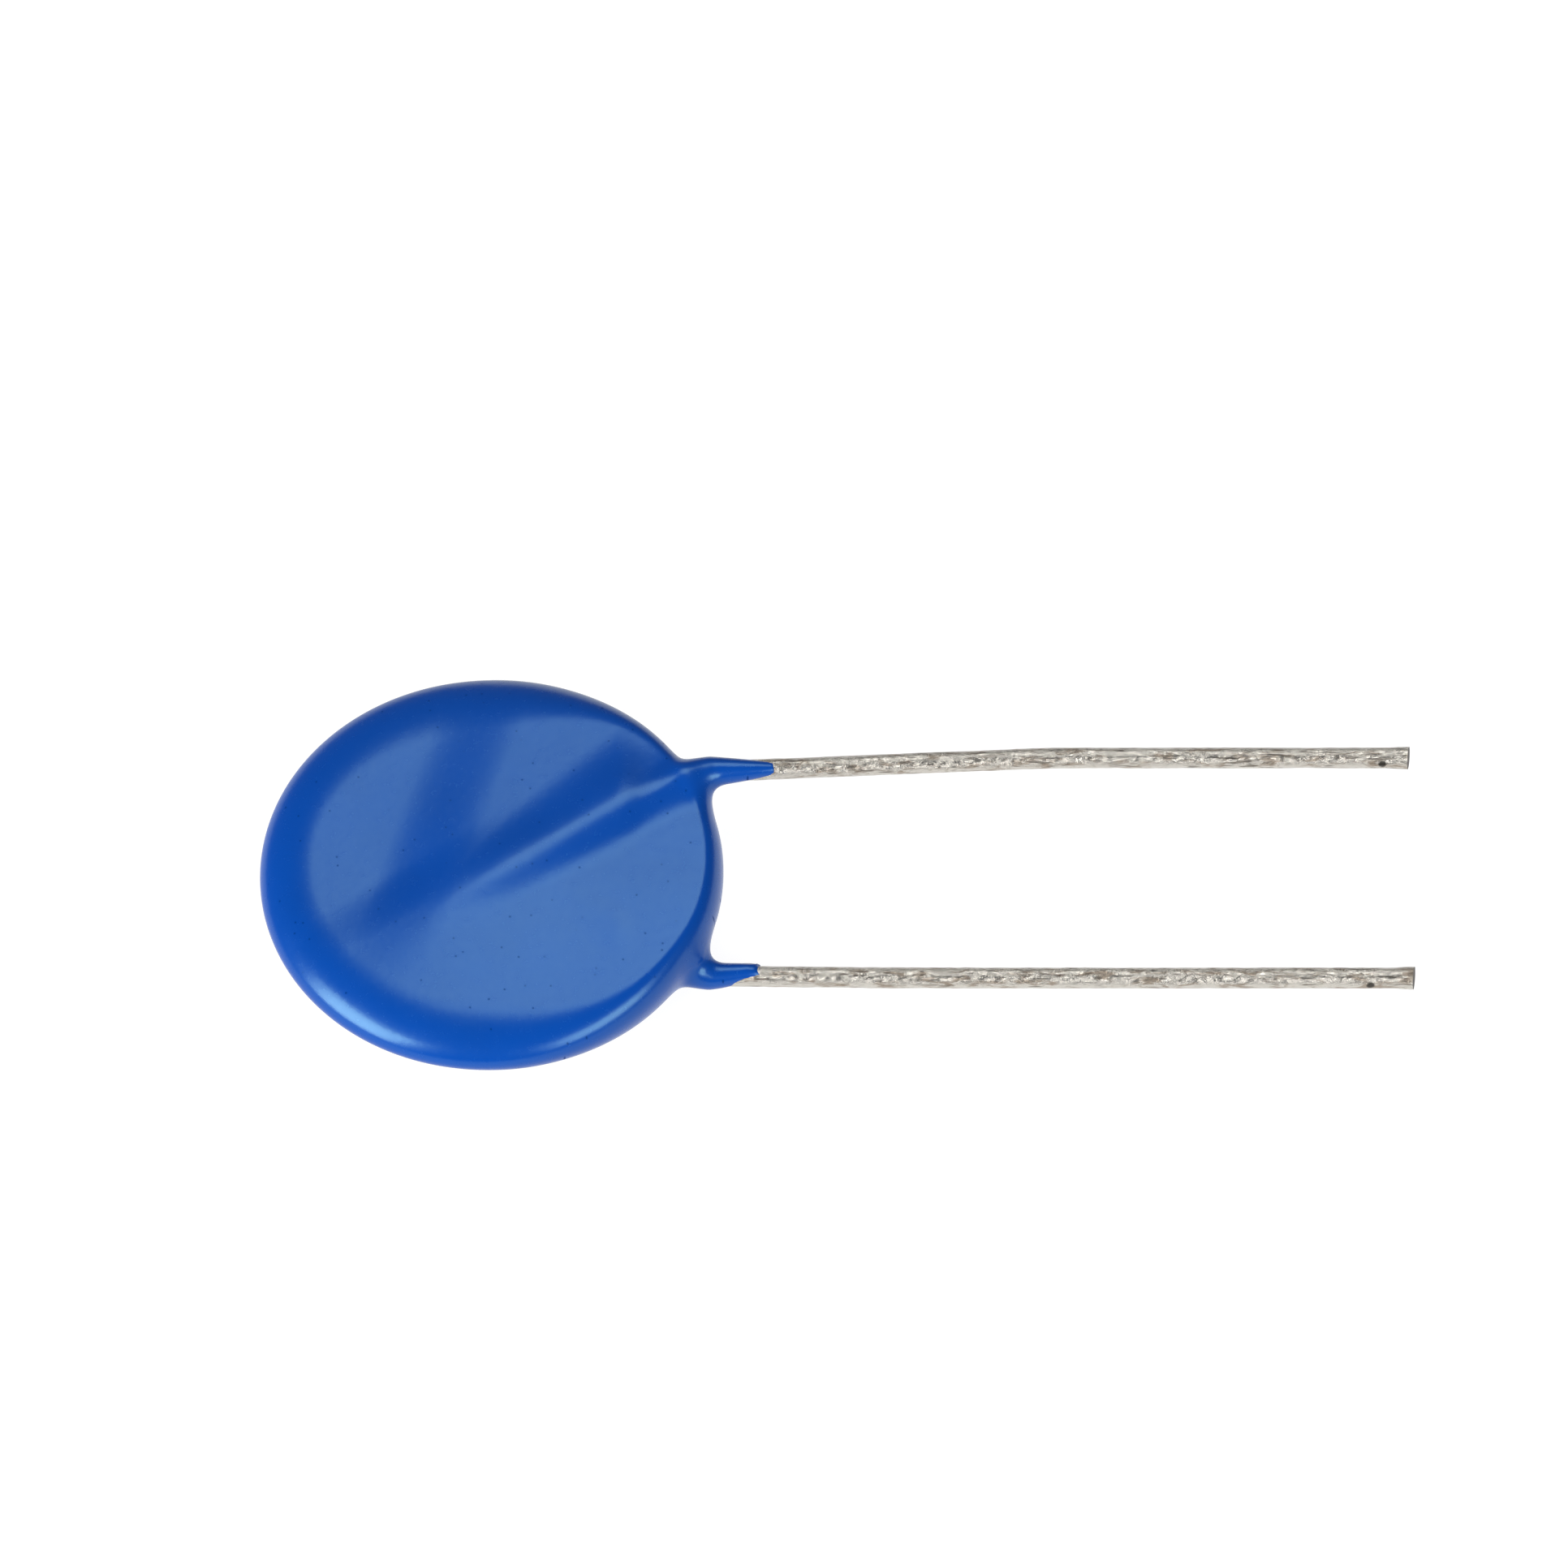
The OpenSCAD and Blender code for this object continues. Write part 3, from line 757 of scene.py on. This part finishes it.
class VARISTOR_OT_inside(bpy.types.Operator):
    """Finishes the ceramic, its electrodes and the solder inside the coat"""

    bl_idname = "varistor.inside"
    bl_label = "Inner finishes"

    def execute(self, context):
        ceramic = plain_finish("zinc_oxide", (0.09, 0.09, 0.095), 0.75, 0.0, 3.0, 0.01)
        silver = plain_finish("fired_silver", (0.72, 0.71, 0.69), 0.42, 1.0, 5.0, 0.008)
        solder = plain_finish("solder", (0.55, 0.55, 0.57), 0.35, 1.0, 1.5, 0.02)
        finishes = {"ceramic_disc": ceramic, "electrode_front": silver, "electrode_back": silver,
                    "solder_front": solder, "solder_back": solder, "lead_front": solder, "lead_back": solder,
                    "epoxy_coat": solder}
        for node, finish in finishes.items():
            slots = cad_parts[node].data.materials
            if len(slots) == 0:
                slots.append(finish)
            for i in range(len(slots)):
                slots[i] = finish
        return {"FINISHED"}


class VARISTOR_OT_stage(bpy.types.Operator):
    """Sets the floor, the soft boxes, the room light and the camera"""

    bl_idname = "varistor.stage"
    bl_label = "Studio"

    floor_half = 1.5
    floor_drop = 0.02
    # pixels: the full frame, and the disc's middle in it
    frame_pixels = 1932
    disc_right, disc_down = 602, 1075
    sensor = 36.0

    def execute(self, context):
        studio = context.scene.varistor_studio
        scene = context.scene
        bm = bmesh.new()
        bmesh.ops.create_grid(bm, x_segments=8, y_segments=8, size=self.floor_half)
        bmesh.ops.translate(bm, verts=bm.verts, vec=(0, 0, -self.floor_drop * MM))
        floor = fresh_object("floor", bm)
        floor.data.materials.append(white_paper(studio.table_glow))
        self.box(scene, "back_box", (0.091, 0.440, 0.893), (0.302, 0.336), studio.back_power)
        self.box(scene, "left_box", (-0.730, -0.470, 0.495), (0.46, 0.46), studio.side_power)
        self.box(scene, "right_box", (0.620, -0.620, 0.475), (0.46, 0.32), studio.side_power * 0.6)
        scene.world = bpy.data.worlds.new("room")
        scene.world.use_nodes = True
        sky = scene.world.node_tree.nodes["Background"]
        sky.inputs["Color"].default_value = (1.0, 1.0, 1.0, 1.0)
        sky.inputs["Strength"].default_value = studio.room
        self.camera(scene, studio)
        scene.view_settings.view_transform = "Standard"
        return {"FINISHED"}

    @staticmethod
    def box(scene, name, way, size, radiance, away=0.70):
        """A soft box of a given size in metres, away from the disc along a direction and facing it."""
        lamp = bpy.data.lights.new(name, "AREA")
        lamp.shape = "RECTANGLE"
        lamp.size, lamp.size_y = size
        lamp.energy = radiance * math.pi * size[0] * size[1]
        obj = bpy.data.objects.new(name, lamp)
        scene.collection.objects.link(obj)
        way = Vector(way).normalized()
        obj.location = CENTRE * MM + way * away
        obj.rotation_euler = way.to_track_quat("Z", "Y").to_euler()

    def camera(self, scene, studio):
        """Looks down at the elevation, with the disc's centre at its place in the frame."""
        data = bpy.data.cameras.new("camera")
        obj = bpy.data.objects.new("camera", data)
        scene.collection.objects.link(obj)
        ahead = Vector((0, math.cos(studio.elevation), -math.sin(studio.elevation)))
        right = Vector((1, 0, 0))
        up = right.cross(ahead)
        middle = self.frame_pixels / 2
        pixel = MM / studio.scale
        eye = (CENTRE * MM - ahead * studio.distance + right * (middle - self.disc_right) * pixel
               + up * (self.disc_down - middle) * pixel)
        turn = Matrix((right, up, -ahead)).transposed()
        obj.matrix_world = Matrix.Translation(eye) @ turn.to_4x4()
        data.sensor_width = self.sensor
        data.lens = self.sensor * studio.distance / (self.frame_pixels * pixel)
        data.clip_start = 0.01
        data.clip_end = 20.0
        scene.camera = obj


class VARISTOR_PT_panel(bpy.types.Panel):
    """Lists the pieces and their sizes."""

    bl_idname = "VARISTOR_PT_panel"
    bl_label = "Varistor"
    bl_space_type = "VIEW_3D"
    bl_region_type = "UI"
    bl_category = "Varistor"

    def draw(self, context):
        for step in STEPS:
            self.layout.operator(step.bl_idname)
        for group in GROUPS:
            settings = getattr(context.scene, group)
            box = self.layout.box()
            for key in type(settings).__annotations__:
                box.prop(settings, key)


GROUPS = {"varistor_sizes": VaristorSizes, "varistor_coat": CoatFinish, "varistor_wire": WireFinish,
          "varistor_studio": StudioSettings}
STEPS = (VARISTOR_OT_stage, VARISTOR_OT_inside, VARISTOR_OT_coat, VARISTOR_OT_leads)


def register():
    for item in (*GROUPS.values(), *STEPS, VARISTOR_PT_panel):
        bpy.utils.register_class(item)
    for key, group in GROUPS.items():
        setattr(bpy.types.Scene, key, PointerProperty(type=group))


def unregister():
    for key in GROUPS:
        delattr(bpy.types.Scene, key)
    for item in reversed((*GROUPS.values(), *STEPS, VARISTOR_PT_panel)):
        bpy.utils.unregister_class(item)


def main():
    register()
    bpy.ops.varistor.stage()
    bpy.ops.varistor.inside()
    bpy.ops.varistor.coat()
    bpy.ops.varistor.leads()


if __name__ == "__main__":
    main()
